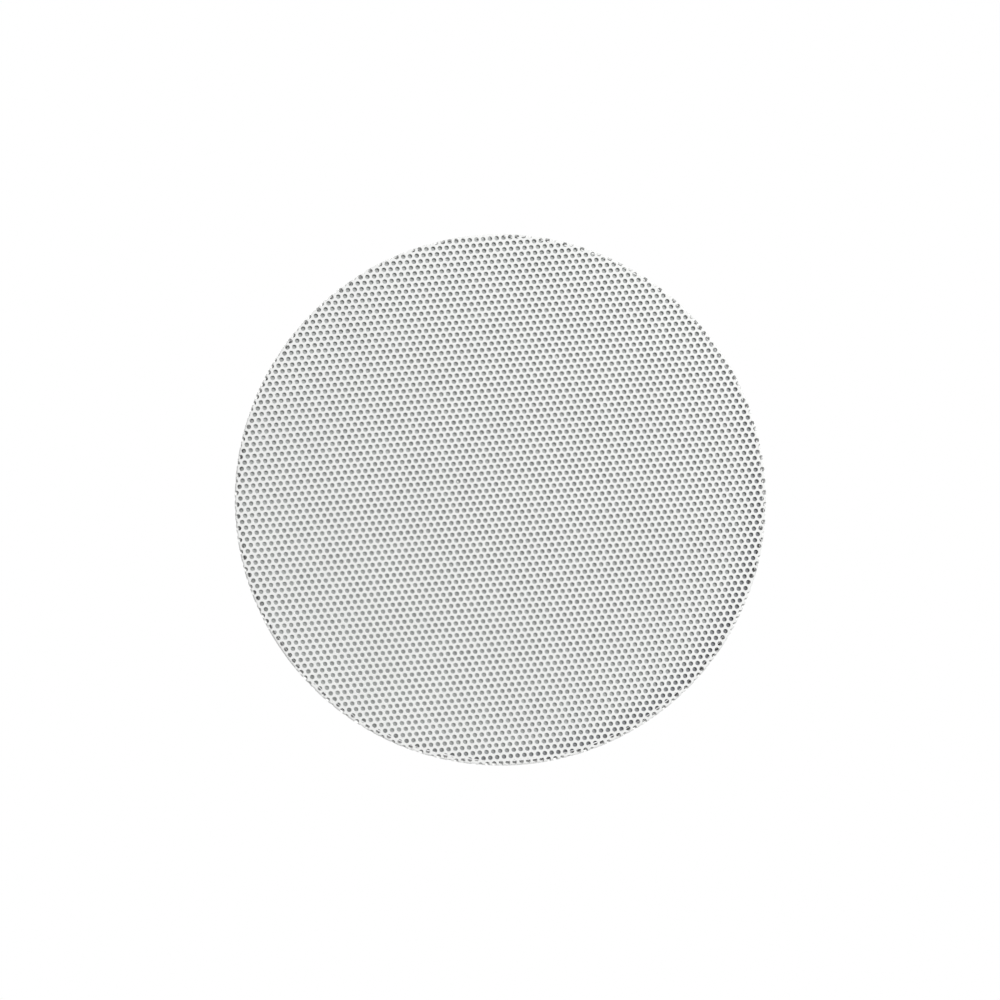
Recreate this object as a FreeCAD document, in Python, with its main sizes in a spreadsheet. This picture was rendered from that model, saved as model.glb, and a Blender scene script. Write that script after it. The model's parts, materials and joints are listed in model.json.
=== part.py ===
"""Round flush-mount two-way loudspeaker with a frameless magnetic grille, in millimetres.

The origin is the centre of the flange's rear bearing face. -Y points out of the grille into the
room, +Y into the cavity behind the ceiling board, and +Z is up. Rings and discs are turned about Y.
Pieces away from the axis are drawn at the top of the frame, where X is tangential and Z is radial,
and then turned about Y to their own clock position.
"""
import FreeCAD, Part
import math
import os
import re

import Sketcher

V = FreeCAD.Vector

SIZES = (
    ("grille_radius", 117, "outside of the turned-down rim"),
    ("sheet", 0.8, "grille sheet with its paint"),
    ("bend_radius", 1, "outside of the rim's bend"),
    ("grille_front", -7.2, "front face of the grille"),
    ("grille_edge", -0.7, "rear edge of the grille's rim"),
    ("scrim_radius", 115.3, "fleece disc"),
    ("scrim_sheet", 0.4, "fleece thickness"),
    ("scrim_x", -0.1, "fleece glued off centre"),
    ("scrim_z", 0.1, "fleece glued off centre"),
    ("flange_radius", 114, "bezel flange"),
    ("flange_front", -3, "front face of the flange"),
    ("seat_front", -5.9, "front of the raised ring that holds the magnets"),
    ("seat_inner", 106, "inside of that ring"),
    ("seat_outer", 113, "outside of that ring"),
    ("edge_chamfer", 0.6, "chamfer on moulded edges"),
    ("magnet_circle", 109.6, "radius of the magnets' circle"),
    ("magnet_radius", 2.5, "grille magnet"),
    ("magnet_length", 2, "grille magnet"),
    ("gasket_inner", 104.5, "foam ring in the flange's rear groove"),
    ("gasket_outer", 110, "foam ring"),
    ("gasket_front", -1.2, "bottom of the groove"),
    ("collar_radius", 102, "land that centres the collar in the cut-out"),
    ("land_end", 3, "rear edge of that land"),
    ("collar_outer", 100.5, "outside of the collar behind its land"),
    ("collar_inner", 98.5, "inside of the collar"),
    ("collar_end", 30, "rear edge of the collar"),
    ("baffle_front", 12, "front face of the woofer's baffle"),
    ("baffle_rear", 15, "rear face of the baffle"),
    ("woofer_opening", 72.5, "hole in the baffle"),
    ("rib_half", 1, "half thickness of the baffle's ribs"),
    ("rib_rear", 24, "rear edge of the ribs"),
    ("tower_half", 18, "half width of a clamp tower"),
    ("tower_inner", 84, "inner face of a tower"),
    ("tower_outer", 100, "outer face of a tower"),
    ("tower_end", 58, "rear end of a tower"),
    ("pocket_half", 15, "half width of a tower's pocket"),
    ("pocket_inner", 87, "floor of the pocket"),
    ("pocket_start", 3, "front end of the pocket"),
    ("pocket_end", 55, "rear end of the pocket"),
    ("clamp_x", -9, "screw beside the tower's middle"),
    ("clamp_z", 93, "screw's radius from the axis"),
    ("screw_radius", 2, "clamp screw"),
    ("screw_tip", 57.8, "end of the clamp screw"),
    ("screw_head_radius", 4, "pan head"),
    ("screw_head_front", -2.6, "front of the pan head"),
    ("running_gap", 0.05, "radial gap of a shaft in its hole"),
    ("nut_front", 46, "front end of the nut's sleeve"),
    ("nut_shoulder", 53, "shoulder that pushes the dog"),
    ("nut_rear", 54.4, "rear end of the nut"),
    ("nut_radius", 3.2, "nut's sleeve"),
    ("shoulder_radius", 4.8, "nut's shoulder"),
    ("dog_boss", 5.6, "boss of the swing-out dog"),
    ("dog_reach", 22, "screw axis to the dog's tip"),
    ("dog_half", 4.4, "half width of the dog's arm"),
    ("dog_foot", 6, "length of the dog's foot along its arm"),
    ("dog_foot_front", 42, "front of the dog's foot"),
    ("basket_radius", 83, "basket flange"),
    ("basket_front", 9.6, "front face of the basket flange"),
    ("basket_sheet", 1.6, "pressed steel"),
    ("basket_wall", 71.6, "outside of the straight wall"),
    ("basket_bend", 22, "where the wall turns inwards"),
    ("ledge_radius", 45.6, "outside of the spider ledge"),
    ("ledge_rear", 48.2, "rear face of the ledge"),
    ("throat_radius", 40.6, "outside of the basket's throat"),
    ("basket_hole", 20, "hole in the basket's bottom"),
    ("window_inner", 48, "inner edge of a basket window"),
    ("window_outer", 68, "outer edge of a basket window"),
    ("window_half", 22, "half angle of a window, in degrees"),
    ("woofer_screw_circle", 78.5, "woofer screws"),
    ("bridge_screw_x", 78.8, "bridge screws"),
    ("small_screw", 1.45, "core of the small screws"),
    ("clearance_hole", 1.8, "hole for a small screw"),
    ("surround_front", 9, "front face of the surround's lips"),
    ("roll_centre", 65.3, "middle of the half roll"),
    ("roll_radius", 5, "outside of the half roll"),
    ("rubber", 0.6, "surround's thickness"),
    ("surround_outer", 74, "outer lip"),
    ("surround_inner", 57, "inner lip"),
    ("cone_rim", 60.4, "outer edge of the cone"),
    ("cone_sheet", 0.8, "cone's thickness"),
    ("cone_arc", 110, "radius of the cone's curved wall"),
    ("neck_front", 39, "where the cone's wall meets its neck"),
    ("neck_rear", 44, "end of the neck"),
    ("cap_radius", 20, "dust cap"),
    ("cap_base", 32, "rim of the dust cap"),
    ("cap_rise", 5, "height of the dust cap"),
    ("cap_sheet", 0.5, "dust cap's thickness"),
    ("former_outer", 12.8, "voice-coil former"),
    ("former_inner", 12.6, "voice-coil former"),
    ("former_front", 38, "front end of the former"),
    ("coil_outer", 13.4, "winding"),
    ("coil_front", 59.5, "winding"),
    ("coil_rear", 69.5, "winding"),
    ("spider_inner", 15, "start of the rolls"),
    ("spider_outer", 38, "end of the rolls"),
    ("spider_edge", 44.4, "outer lip of the spider"),
    ("spider_rear", 46.6, "rear face of the spider's lip"),
    ("spider_sheet", 0.6, "spider's thickness"),
    ("spider_wave", 1.2, "height of a roll"),
    ("plate_radius", 42, "top and back plates"),
    ("plate_hole", 13.9, "hole in the top plate"),
    ("plate_front", 60, "front face of the top plate"),
    ("plate_rear", 65, "rear face of the top plate"),
    ("magnet_ring_outer", 45, "ferrite ring"),
    ("magnet_ring_inner", 22, "ferrite ring"),
    ("magnet_ring_rear", 80, "ferrite ring"),
    ("back_plate_rear", 85, "back plate"),
    ("pole_radius", 12.2, "pole piece"),
    ("pole_front", 59, "pole piece"),
    ("vent_radius", 3.5, "vent through the pole"),
    ("boot_radius", 47, "rubber magnet cover"),
    ("boot_rear", 86.5, "rear face of the cover"),
    ("boot_hole", 9, "hole in the cover"),
    ("pivot_y", 9, "centre of the tweeter's gimbal"),
    ("hub_outer", 27, "hub of the bridge"),
    ("hub_inner", 23.3, "hub of the bridge"),
    ("bridge_front", -4.5, "front of the bridge"),
    ("hub_rear", 13.5, "rear of the hub"),
    ("arm_rear", -2, "rear face of the bridge's arms"),
    ("arm_half", 8, "half width of the arms"),
    ("foot_inner", 75.6, "inner face of the bridge's feet"),
    ("foot_outer", 82.6, "outer end of the bridge"),
    ("gimbal_outer", 21.4, "gimbal ring"),
    ("gimbal_inner", 19.2, "gimbal ring"),
    ("gimbal_half", 3.5, "half height of the gimbal ring"),
    ("pin_radius", 1, "gimbal pins"),
    ("tweeter_radius", 17.5, "tweeter housing"),
    ("tweeter_wall", 1.3, "tweeter housing"),
    ("tweeter_front", 2.8, "front of the faceplate"),
    ("plate_joint", 4.2, "faceplate meets housing"),
    ("tweeter_rear", 19, "rear of the housing"),
    ("dome_radius", 12.2, "silk dome"),
    ("dome_apex", 0.9, "front of the dome"),
    ("board_front", 24, "front face of the crossover board"),
    ("board_sheet", 1.6, "crossover board"),
    ("board_inner", 77, "inner arc of the board"),
    ("board_outer", 97, "outer arc of the board"),
    ("board_half", 41, "half angle of the board, in degrees"),
    ("post_radius", 3.2, "moulded posts under the board"),
    ("post_circle", 94, "radius of the posts' circle"),
    ("post_angle", 37, "outer posts from the middle one, in degrees"),
    ("part_circle", 87, "radius of the circle that the board's parts stand on"),
    ("switch_x", 14, "switches beside the middle line"),
    ("switch_z", -90, "switches on the baffle"),
    ("switch_rear", 22, "rear of the switch bodies"),
    ("slider_travel", 4, "switch travel"),
    ("block_half", 16, "half width of the terminal block"),
    ("block_inner", 84, "inner face of the block"),
    ("block_outer", 96, "outer face of the block"),
    ("block_rear", 37, "rear of the block"),
    ("entry_radius", 1.6, "wire entry"),
    ("entry_depth", 10, "wire entry"),
    ("entry_z", 87.5, "wire entry"),
    ("lever_x", 7.5, "levers beside the block's middle"),
    ("lever_half", 4.6, "half width of a lever"),
    ("axle_y", 23, "lever axle"),
    ("axle_z", 95, "lever axle"),
    ("axle_radius", 0.8, "lever axle"),
    ("spring_radius", 1.5, "coil spring under a lever"),
    ("lever_well", 6, "depth of a lever's well in the block"),
    ("lever_gap", 0.3, "lever's side clearance in its well"),
    ("lever_inset", 1.7, "axle's centre inside the lever's inner and front faces"),
    ("eye_half", 7, "half width of the tether eye"),
    ("eye_sheet", 2, "tether eye"),
    ("eye_gap", 0.4, "tether eye inside the collar"),
    ("eye_end", 42, "rear end of the tether eye"),
    ("eye_hole", 3, "hole for the tether's hook"),
    ("eye_hole_y", 35.5, "centre of that hole"),
    ("slot_half", 1.8, "half height of a switch's slot"),
    ("lead_hole_x", 86.4, "hole for the tweeter's lead"),
)

WORDS = {"cos", "sin", "sqrt", "deg"}
# clock positions, in degrees anticlockwise from the top, seen from the front
CLAMPS = (("top", 0), ("left", 120), ("right", 240))
TERMINAL_TURN = -60
TETHER_TURN = 60
TAB_TURN = -150

doc = FreeCAD.newDocument("FlushSpeaker")
sheet = doc.addObject("Spreadsheet::Sheet", "Sizes")
nodes = []


def fill_sheet():
    for row, (name, number, note) in enumerate(SIZES, 1):
        sheet.set(f"A{row}", name)
        sheet.set(f"B{row}", str(number))
        sheet.setAlias(f"B{row}", name)
        sheet.set(f"C{row}", note)
    doc.recompute()


def bound(text):
    """The text as an expression on the sheet: every alias in it gets the sheet's name."""
    return re.sub(r"[a-z]\w*", lambda word: word[0] if word[0] in WORDS else "Sizes." + word[0], text)


def value(text):
    return float(sheet.evalExpression(bound(text)))


# ---------------------------------------------------------------- sketches and features

def new_body(label):
    body = doc.addObject("PartDesign::Body", label)
    body.Label = label
    nodes.append(body)
    return body


def datum(body, role):
    return next(item for item in body.Origin.OriginFeatures if item.Role == role)


def new_sketch(body, role, level):
    sketch = body.newObject("Sketcher::SketchObject", body.Name + "_sketch")
    sketch.AttachmentSupport = [(datum(body, role), "")]
    sketch.MapMode = "FlatFace"
    if level != "0":
        sketch.setExpression("AttachmentOffset.Base.z", bound(level))
    return sketch


def pin_point(sketch, index, end, x, y):
    """Ties one point of a sketch to the sheet."""
    for kind, axis, text in (("DistanceX", -2, x), ("DistanceY", -1, y)):
        if text == "0":
            sketch.addConstraint(Sketcher.Constraint("PointOnObject", index, end, axis))
            continue
        number = sketch.addConstraint(Sketcher.Constraint(kind, -1, 1, index, end, value(text)))
        sketch.setExpression(f"Constraints[{number}]", bound(text))


def pin_radius(sketch, index, text):
    number = sketch.addConstraint(Sketcher.Constraint("Radius", index, value(text)))
    sketch.setExpression(f"Constraints[{number}]", bound(text))


def arc_between(start, end, radius, turn):
    """The arc from start to end, and which of its ends is the start. turn 1 is anticlockwise."""
    chord = end - start
    left = V(-chord.y, chord.x, 0).normalize()
    height = math.sqrt(max(radius ** 2 - (chord.Length / 2) ** 2, 0))
    centre = (start + end) / 2 + left * height * turn
    first, last = (start, end) if turn > 0 else (end, start)
    low = math.atan2(first.y - centre.y, first.x - centre.x)
    high = math.atan2(last.y - centre.y, last.x - centre.x)
    if high <= low:
        high += 2 * math.pi
    arc = Part.ArcOfCircle(Part.Circle(centre, V(0, 0, 1), radius), low, high)
    return arc, (1, 2) if turn > 0 else (2, 1)


def outline(*corners):
    """A closed outline. A corner is (x, y), or (x, y, radius, turn) where an arc leads to the next one."""
    def draw(sketch):
        places = [V(value(corner[0]), value(corner[1]), 0) for corner in corners]
        edges = []
        for number, corner in enumerate(corners):
            start, end = places[number], places[(number + 1) % len(places)]
            curve, ends = Part.LineSegment(start, end), (1, 2)
            if len(corner) == 4:
                curve, ends = arc_between(start, end, value(corner[2]), corner[3])
            edges.append((sketch.addGeometry(curve), *ends))
        for (before, _, last), (after, first, _) in zip(edges, edges[1:] + edges[:1]):
            sketch.addConstraint(Sketcher.Constraint("Coincident", before, last, after, first))
        for (index, first, _), corner in zip(edges, corners):
            pin_point(sketch, index, first, corner[0], corner[1])
            if len(corner) == 4:
                pin_radius(sketch, index, corner[2])
    return draw


def rectangle(left, right, low, high):
    return outline((left, low), (right, low), (right, high), (left, high))


def circle(x, y, radius):
    def draw(sketch):
        centre = V(value(x), value(y), 0)
        index = sketch.addGeometry(Part.Circle(centre, V(0, 0, 1), value(radius)))
        pin_point(sketch, index, 3, x, y)
        pin_radius(sketch, index, radius)
    return draw


def revolve(body, draw):
    """Turns an outline of (radius, y) about the Y axis."""
    sketch = new_sketch(body, "XY_Plane", "0")
    draw(sketch)
    feature = body.newObject("PartDesign::Revolution", body.Name + "_turned")
    feature.Profile = sketch
    feature.ReferenceAxis = (datum(body, "Y_Axis"), [""])
    feature.Angle = 360
    return feature


def extrude(body, kind, start, end, shapes, role):
    """Pads or pockets shapes from start to end along the axis that is normal to the origin plane."""
    facing = -1 if role == "XZ_Plane" else 1
    sketch = new_sketch(body, role, start if facing > 0 else f"-({start})")
    for draw in shapes:
        draw(sketch)
    feature = body.newObject("PartDesign::" + kind, body.Name + "_" + kind.lower())
    feature.Profile = sketch
    feature.Reversed = (facing < 0) == (kind == "Pad")
    feature.setExpression("Length", bound(f"({end}) - ({start})"))
    return feature


def pad(body, start, end, *shapes, role="XZ_Plane"):
    return extrude(body, "Pad", start, end, shapes, role)


def pocket(body, start, end, *shapes, role="XZ_Plane"):
    """Cuts shapes out, and stops the build if that takes nothing away."""
    doc.recompute()
    before = body.Shape.Volume
    feature = extrude(body, "Pocket", start, end, shapes, role)
    doc.recompute()
    if body.Shape.Volume > before - 1e-3:
        raise RuntimeError(f"{feature.Name} cuts nothing")
    return feature


def around(body, feature, count, angle=360):
    """Repeats a feature about the Y axis."""
    pattern = body.newObject("PartDesign::PolarPattern", body.Name + "_pattern")
    pattern.Originals = [feature]
    pattern.Axis = (datum(body, "Y_Axis"), [""])
    pattern.Angle = angle
    pattern.Occurrences = count
    body.Tip = pattern


def lathe(label, *corners):
    body = new_body(label)
    revolve(body, outline(*corners))
    return body


def ring(label, inner, outer, front, rear):
    return lathe(label, (inner, front), (outer, front), (outer, rear), (inner, rear))


def turned(x, z, degrees):
    """The placement that moves a piece to (x, z) and then turns it about Y, anticlockwise from the front."""
    turn = FreeCAD.Placement(V(), FreeCAD.Rotation(V(0, 1, 0), -degrees))
    return turn * FreeCAD.Placement(V(x, 0, z), FreeCAD.Rotation())


def copies(label, source, places):
    """One node that holds a copy of source at each placement; the source is a pattern, not a node."""
    doc.recompute()
    if source in nodes:
        nodes.remove(source)
    group = doc.addObject("Part::Feature", label)
    group.Label = label
    source.Label = label + "_pattern"
    shapes = []
    for place in places:
        shape = source.Shape.copy()
        shape.Placement = place * shape.Placement
        shapes.append(shape)
    group.Shape = Part.makeCompound(shapes)
    nodes.append(group)
    return group


# ---------------------------------------------------------------- grille

def make_grille():
    """A thin cap. Its face carries the perforation, which the cap's solid leaves out."""
    lathe(
        "perforated_grille",
        ("0", "grille_front"),
        ("grille_radius - bend_radius", "grille_front", "bend_radius", 1),
        ("grille_radius", "grille_front + bend_radius"),
        ("grille_radius", "grille_edge"),
        ("grille_radius - sheet", "grille_edge"),
        ("grille_radius - sheet", "grille_front + bend_radius", "bend_radius - sheet", -1),
        ("grille_radius - bend_radius", "grille_front + sheet"),
        ("0", "grille_front + sheet"),
    )
    scrim = new_body("grille_scrim")
    inside = "grille_front + sheet"
    pad(scrim, inside, inside + " + scrim_sheet", circle("scrim_x", "scrim_z", "scrim_radius"))
    magnet = new_body("magnet")
    pad(magnet, "seat_front", "seat_front + magnet_length", circle("0", "magnet_circle", "magnet_radius"))
    copies("grille_magnets", magnet, [turned(0, 0, 45 * number) for number in range(8)])


# ---------------------------------------------------------------- frame

def make_frame():
    """The moulded frame: flange, seat ring, collar, baffle, clamp towers, ribs and board posts."""
    frame = lathe(
        "frame",
        ("seat_inner", "seat_front"),
        ("seat_outer - edge_chamfer", "seat_front"),
        ("seat_outer", "seat_front + edge_chamfer"),
        ("seat_outer", "flange_front"),
        ("flange_radius - edge_chamfer", "flange_front"),
        ("flange_radius", "flange_front + edge_chamfer"),
        ("flange_radius", "0"),
        ("gasket_outer", "0"),
        ("gasket_outer", "gasket_front"),
        ("gasket_inner", "gasket_front"),
        ("gasket_inner", "0"),
        ("collar_radius", "0"),
        ("collar_radius", "land_end"),
        ("collar_outer", "land_end"),
        ("collar_outer", "collar_end - edge_chamfer"),
        ("collar_outer - edge_chamfer", "collar_end"),
        ("collar_inner", "collar_end"),
        ("collar_inner", "baffle_rear"),
        ("woofer_opening", "baffle_rear"),
        ("woofer_opening", "baffle_front"),
        ("collar_inner", "baffle_front"),
        ("collar_inner", "flange_front"),
        ("seat_inner", "flange_front"),
    )
    rib = pad(frame, "baffle_rear", "rib_rear",
              rectangle("-collar_inner - 1", "-woofer_opening - 2", "-rib_half", "rib_half"))
    around(frame, rib, 3, angle=120)
    tower = pad(frame, "flange_front", "tower_end",
                rectangle("-tower_half", "tower_half", "tower_inner", "tower_outer"))
    around(frame, tower, 3)
    hollow = pocket(frame, "pocket_start", "pocket_end",
                    rectangle("-pocket_half", "pocket_half", "pocket_inner", "collar_radius + 1"))
    around(frame, hollow, 3)
    recess = pocket(frame, "flange_front", "0.001", circle("clamp_x", "clamp_z", "screw_head_radius + 0.6"))
    around(frame, recess, 3)
    bore = pocket(frame, "-0.5", "tower_end + 1", circle("clamp_x", "clamp_z", "screw_radius + running_gap"))
    around(frame, bore, 3)
    seat = pocket(frame, "seat_front", "seat_front + magnet_length",
                  circle("0", "magnet_circle", "magnet_radius"))
    around(frame, seat, 8)
    diagonal = "woofer_screw_circle * cos(45 deg)"
    hole = pocket(frame, "baffle_front", "baffle_rear", circle(diagonal, diagonal, "small_screw"))
    around(frame, hole, 4)
    hole = pocket(frame, "baffle_front", "baffle_rear", circle("bridge_screw_x", "0", "small_screw"))
    around(frame, hole, 2)
    reach = "(slider_travel / 2 + 2.4)"
    low, high = "switch_z - slot_half", "switch_z + slot_half"
    pocket(frame, "baffle_front", "baffle_rear",
           rectangle(f"switch_x - {reach}", f"switch_x + {reach}", low, high),
           rectangle(f"-switch_x - {reach}", f"-switch_x + {reach}", low, high),
           circle("lead_hole_x", "arm_half + 1", "2"))
    posts = [circle(x, z, "post_radius") for x, z in post_places()]
    pad(frame, "baffle_rear", "board_front", *posts)
    holes = [circle(x, z, "small_screw") for x, z in post_places()]
    pocket(frame, "board_front - 8", "board_front", *holes)
    ring("ceiling_gasket", "gasket_inner", "gasket_outer", "gasket_front", "0")


def post_places():
    """The three posts that the crossover board stands on."""
    sideways = "post_circle * sin(post_angle * 1 deg)"
    down = "-post_circle * cos(post_angle * 1 deg)"
    return (("0", "-post_circle"), (sideways, down), ("-" + sideways, down))


# ---------------------------------------------------------------- clamps

def make_clamps():
    """Each clamp is a long screw, a nut that travels along it and a dog that swings out on the nut."""
    for side, degrees in CLAMPS:
        place = turned(value("clamp_x"), value("clamp_z"), degrees)
        for make in (clamp_screw, clamp_nut, clamp_dog):
            piece = make(side)
            piece.Placement = place


def clamp_screw(side):
    screw = lathe(
        "clamp_screw_" + side,
        ("0", "screw_head_front"),
        ("screw_head_radius - 1.2", "screw_head_front"),
        ("screw_head_radius", "screw_head_front + 0.9"),
        ("screw_head_radius", "0"),
        ("screw_radius", "0"),
        ("screw_radius", "screw_tip - 0.8"),
        ("screw_radius - 0.8", "screw_tip"),
        ("0", "screw_tip"),
    )
    pocket(screw, "screw_head_front", "screw_head_front + 1.5", rectangle("-2.2", "2.2", "-0.5", "0.5"))
    pocket(screw, "screw_head_front", "screw_head_front + 1.5", rectangle("-0.5", "0.5", "-2.2", "2.2"))
    return screw


def clamp_nut(side):
    return lathe(
        "clamp_nut_" + side,
        ("screw_radius + running_gap", "nut_front"),
        ("nut_radius", "nut_front"),
        ("nut_radius", "nut_shoulder"),
        ("shoulder_radius", "nut_shoulder"),
        ("shoulder_radius", "nut_rear"),
        ("screw_radius + running_gap", "nut_rear"),
    )


def clamp_dog(side):
    dog = new_body("clamp_dog_" + side)
    rear = "nut_shoulder - 0.1"
    pad(dog, "nut_front", rear, circle("0", "0", "dog_boss"))
    pad(dog, "nut_front + 1", rear, rectangle("0.01", "dog_reach", "-dog_half", "dog_half"))
    pad(dog, "dog_foot_front", "nut_front + 1.5",
        rectangle("dog_reach - dog_foot", "dog_reach", "-dog_half", "dog_half"))
    pocket(dog, "nut_front - 1", "nut_rear", circle("0", "0", "nut_radius + running_gap"))
    return dog


# ---------------------------------------------------------------- woofer

def small_holes(body, front, rear, radius):
    """The woofer's four screw holes and the bridge's two."""
    diagonal = "woofer_screw_circle * cos(45 deg)"
    around(body, pocket(body, front, rear, circle(diagonal, diagonal, radius)), 4)
    around(body, pocket(body, front, rear, circle("bridge_screw_x", "0", radius)), 2)


def make_basket():
    rear = "basket_front + basket_sheet"
    basket = lathe(
        "basket",
        ("basket_wall - basket_sheet", "basket_front"),
        ("basket_radius", "basket_front"),
        ("basket_radius", rear),
        ("basket_wall", rear),
        ("basket_wall", "basket_bend"),
        ("ledge_radius", "ledge_rear"),
        ("throat_radius", "ledge_rear"),
        ("throat_radius", "plate_front"),
        ("basket_hole", "plate_front"),
        ("basket_hole", "plate_front - basket_sheet"),
        ("throat_radius - basket_sheet", "plate_front - basket_sheet"),
        ("throat_radius - basket_sheet", "spider_rear"),
        ("ledge_radius - 0.7", "spider_rear"),
        ("basket_wall - basket_sheet", "basket_bend - 0.7"),
    )
    side_in = "window_inner * sin(window_half * 1 deg)"
    side_out = "window_outer * sin(window_half * 1 deg)"
    up_in = "window_inner * cos(window_half * 1 deg)"
    up_out = "window_outer * cos(window_half * 1 deg)"
    window = pocket(basket, "basket_bend - 3", "ledge_rear + 1", outline(
        (side_in, up_in),
        (side_out, up_out, "window_outer", 1),
        ("-" + side_out, up_out),
        ("-" + side_in, up_in, "window_inner", -1),
    ))
    around(basket, window, 6)
    small_holes(basket, "basket_front - 1", rear + " + 1", "clearance_hole")
    gasket = ring("woofer_gasket", "woofer_opening", "basket_radius - 0.4", rear, "baffle_front")
    small_holes(gasket, rear + " - 1", "baffle_front + 1", "clearance_hole")


def make_moving_parts():
    """Surround and spider, which flex, and the cone, dust cap, former and coil, which stroke."""
    lip = "surround_front + rubber"
    lathe(
        "surround",
        ("surround_inner", "surround_front"),
        ("roll_centre - roll_radius", "surround_front", "roll_radius", 1),
        ("roll_centre", "surround_front - roll_radius", "roll_radius", 1),
        ("roll_centre + roll_radius", "surround_front"),
        ("surround_outer", "surround_front"),
        ("surround_outer", lip),
        ("roll_centre + roll_radius - rubber", lip),
        ("roll_centre + roll_radius - rubber", "surround_front", "roll_radius - rubber", -1),
        ("roll_centre", "surround_front - roll_radius + rubber", "roll_radius - rubber", -1),
        ("roll_centre - roll_radius + rubber", "surround_front"),
        ("roll_centre - roll_radius + rubber", lip),
        ("surround_inner", lip),
    )
    lathe(
        "cone",
        ("cone_rim", lip),
        ("cone_rim", lip + " + cone_sheet"),
        ("surround_inner - 0.6", lip + " + cone_sheet", "cone_arc - cone_sheet", -1),
        ("former_outer + 1.1", "neck_front + 1.1"),
        ("former_outer + 0.8", "neck_rear"),
        ("former_outer", "neck_rear"),
        ("former_outer", "neck_front"),
        ("former_outer + 0.5", "neck_front", "cone_arc", 1),
        ("surround_inner - 0.2", lip),
    )
    flat = "cap_radius - cap_sheet"
    lathe(
        "dust_cap",
        ("0", "cap_base - cap_rise", "(cap_radius^2 + cap_rise^2) / (2 * cap_rise)", 1),
        ("cap_radius", "cap_base"),
        (flat, "cap_base", f"(({flat})^2 + (cap_rise - cap_sheet)^2) / (2 * (cap_rise - cap_sheet))", -1),
        ("0", "cap_base - cap_rise + cap_sheet"),
    )
    ring("voice_coil_former", "former_inner", "former_outer", "former_front", "coil_rear")
    ring("voice_coil", "former_outer", "coil_outer", "coil_front", "coil_rear")
    make_spider()


def make_spider():
    """The corrugated disc: its rolls alternate between crest and trough."""
    rolls = 8
    crest = "spider_rear - spider_sheet - spider_wave"
    trough = "spider_rear - spider_sheet"
    front = [("former_outer", trough)]
    rear = [("former_outer", "spider_rear")]
    for number in range(rolls + 1):
        radius = f"spider_inner + (spider_outer - spider_inner) * {number} / {rolls}"
        level = crest if number % 2 else trough
        front.append((radius, level))
        rear.append((radius, level + " + spider_sheet"))
    front.append(("spider_edge", trough))
    rear.append(("spider_edge", "spider_rear"))
    lathe("spider", *front, *reversed(rear))


def make_motor():
    """Top plate, ferrite ring, back plate with pole, and the rubber cover."""
    ring("top_plate", "plate_hole", "plate_radius", "plate_front", "plate_rear")
    ring("ferrite_magnet", "magnet_ring_inner", "magnet_ring_outer", "plate_rear", "magnet_ring_rear")
    lathe(
        "back_plate",
        ("vent_radius", "pole_front"),
        ("pole_radius", "pole_front"),
        ("pole_radius", "magnet_ring_rear"),
        ("plate_radius", "magnet_ring_rear"),
        ("plate_radius", "back_plate_rear - 1"),
        ("plate_radius - 1", "back_plate_rear"),
        ("vent_radius", "back_plate_rear"),
    )
    lathe(
        "magnet_cover",
        ("magnet_ring_outer", "plate_rear"),
        ("boot_radius", "plate_rear"),
        ("boot_radius", "boot_rear - 2", "2", 1),
        ("boot_radius - 2", "boot_rear"),
        ("boot_hole", "boot_rear"),
        ("boot_hole", "back_plate_rear"),
        ("magnet_ring_outer", "back_plate_rear"),
    )


def pan_screw(label, head_front, head_rear, tip, head_radius):
    """A small screw on the Y axis; its pan head has rounded shoulders."""
    return lathe(
        label,
        ("0", head_front),
        (f"{head_radius} - 0.8", head_front),
        (head_radius, f"{head_front} + 0.8"),
        (head_radius, head_rear),
        ("small_screw", head_rear),
        ("small_screw", f"{tip} - 1"),
        ("0.4", tip),
        ("0", tip),
    )


def make_woofer_screws():
    screw = pan_screw("screw", "basket_front - 2.2", "basket_front", "baffle_rear + 5", "3.4")
    circle_radius = value("woofer_screw_circle")
    copies("woofer_screws", screw, [turned(0, circle_radius, 45 + 90 * number) for number in range(4)])


def make_terminal_tab():
    """The woofer's solder tab, on a strut of the basket, parallel to the strut's outer face."""
    tab = doc.addObject("Part::Box", "terminal_tab")
    tab.Label = "terminal_tab"
    tab.Length, tab.Width, tab.Height = 11, 1.2, 14
    slope = math.degrees(math.atan2(value("ledge_rear - basket_bend"), value("basket_wall - ledge_radius")))
    middle = V(0, value("(ledge_rear + basket_bend) / 2"), value("(basket_wall + ledge_radius) / 2"))
    tilt = FreeCAD.Placement(middle, FreeCAD.Rotation(V(1, 0, 0), 90 - slope))
    corner = FreeCAD.Placement(V(-tab.Length.Value / 2, 0.05, -tab.Height.Value / 2), FreeCAD.Rotation())
    tab.Placement = turned(0, 0, TAB_TURN) * tilt * corner
    nodes.append(tab)


# ---------------------------------------------------------------- tweeter

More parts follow.
